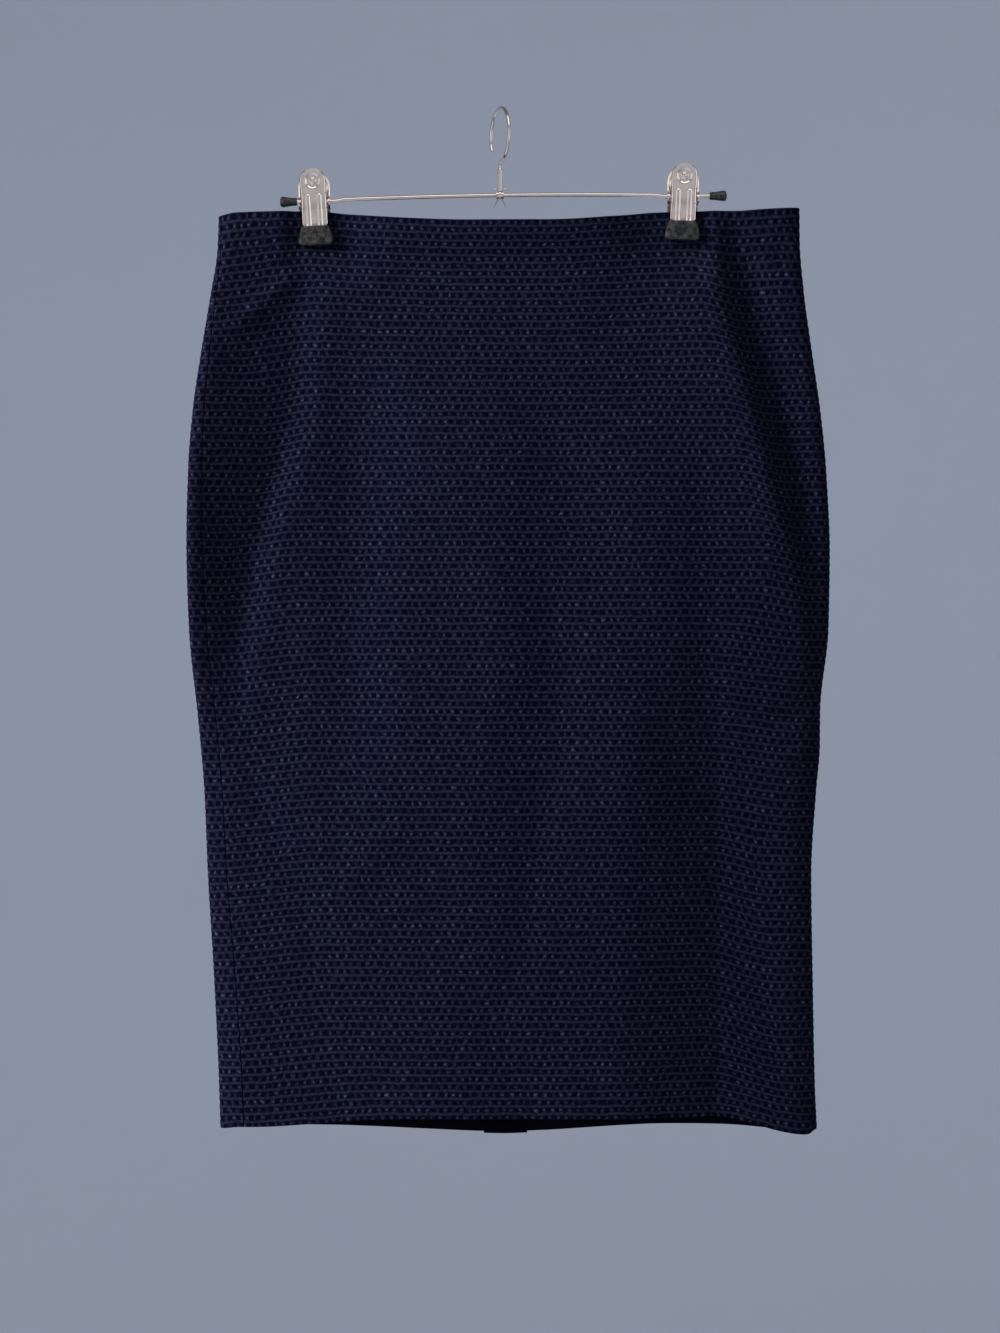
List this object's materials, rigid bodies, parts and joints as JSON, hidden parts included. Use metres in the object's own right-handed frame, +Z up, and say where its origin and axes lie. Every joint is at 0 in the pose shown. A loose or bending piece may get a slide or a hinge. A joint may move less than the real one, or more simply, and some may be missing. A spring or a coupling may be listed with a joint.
{
  "type": "pencil skirt on a clip hanger",
  "caption": "Knee-length navy pencil skirt of textured jacquard knit with a back vent, held flat by the clips of a chromed wire hanger with rubber pads.",
  "frame": {"origin": "the underside of the hook's crown, the place that rests on a rail", "axes": "+Z up, +X to the right as the front of the skirt is faced, the front looks along -Y"},
  "size_m": [0.4295, 0.0492, 0.6915],
  "materials": {
    "navy_knit": "matt double jacquard knit, navy ground with lighter cross ribs",
    "chrome": "polished chromed steel wire and pressed plate",
    "black_rubber": "satin moulded rubber"
  },
  "bodies": {
    "root": {"skirt_front": "navy_knit", "skirt_back_left": "navy_knit", "skirt_back_right": "navy_knit", "vent_underlap": "navy_knit", "hanger_bar": "chrome", "hanger_hook": "chrome", "hook_saddle": "chrome", "end_cap_left": "black_rubber", "end_cap_right": "black_rubber", "clip_left_front_plate": "chrome", "clip_left_front_pad": "black_rubber", "clip_left_rear_plate": "chrome", "clip_left_rear_pad": "black_rubber", "clip_left_spring": "chrome", "clip_right_front_plate": "chrome", "clip_right_front_pad": "black_rubber", "clip_right_rear_plate": "chrome", "clip_right_rear_pad": "black_rubber", "clip_right_spring": "chrome"}
  },
  "joints": []
}
